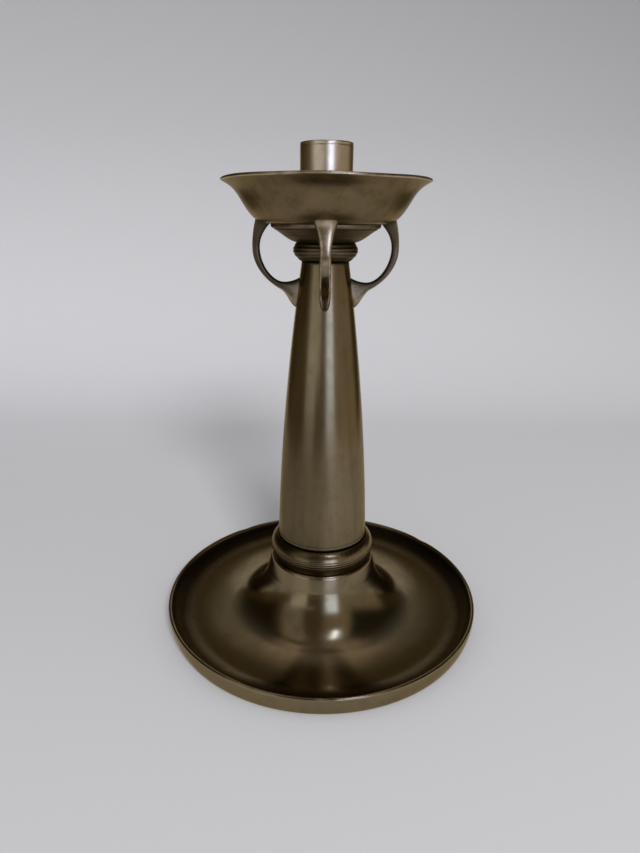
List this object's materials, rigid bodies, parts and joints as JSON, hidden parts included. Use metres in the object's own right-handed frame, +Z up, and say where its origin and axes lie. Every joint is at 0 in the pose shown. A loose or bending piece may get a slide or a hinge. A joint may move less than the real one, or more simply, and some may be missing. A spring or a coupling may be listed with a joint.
{
  "type": "candlestick",
  "caption": "Free-standing pewter candlestick: saucer base with a bell, swelling stem, moulded collars, loop handles, drip pan and a lift-out candle nozzle.",
  "frame": {"origin": "on the table under the axis of the stem", "axes": "+Z up the axis; one handle along each of +X, +Y, -X and -Y; the picture looks along +Y"},
  "size_m": [0.1778, 0.1778, 0.2524],
  "materials": {
    "pewter": "aged pewter, satin, with an olive-brown patina and bright worn edges",
    "tin": "paler tinned metal, satin, lightly stained",
    "steel": "plain steel, dull"
  },
  "bodies": {
    "stand": {"base_dish": "pewter", "lower_collar": "pewter", "stem": "pewter", "upper_collar": "pewter", "capital": "pewter", "drip_pan": "pewter", "nozzle_socket": "pewter", "handle_right": "pewter", "handle_back": "pewter", "handle_left": "pewter", "handle_front": "pewter", "tie_rod": "steel", "clamp_plate": "steel", "tie_rod_nut": "steel"},
    "nozzle": {"candle_nozzle": "tin"}
  },
  "joints": [
    {"name": "nozzle_lift", "type": "slide", "parent": "stand", "child": "nozzle", "axis": [0, 0, 1], "range_m": [0, 0.06]}
  ]
}
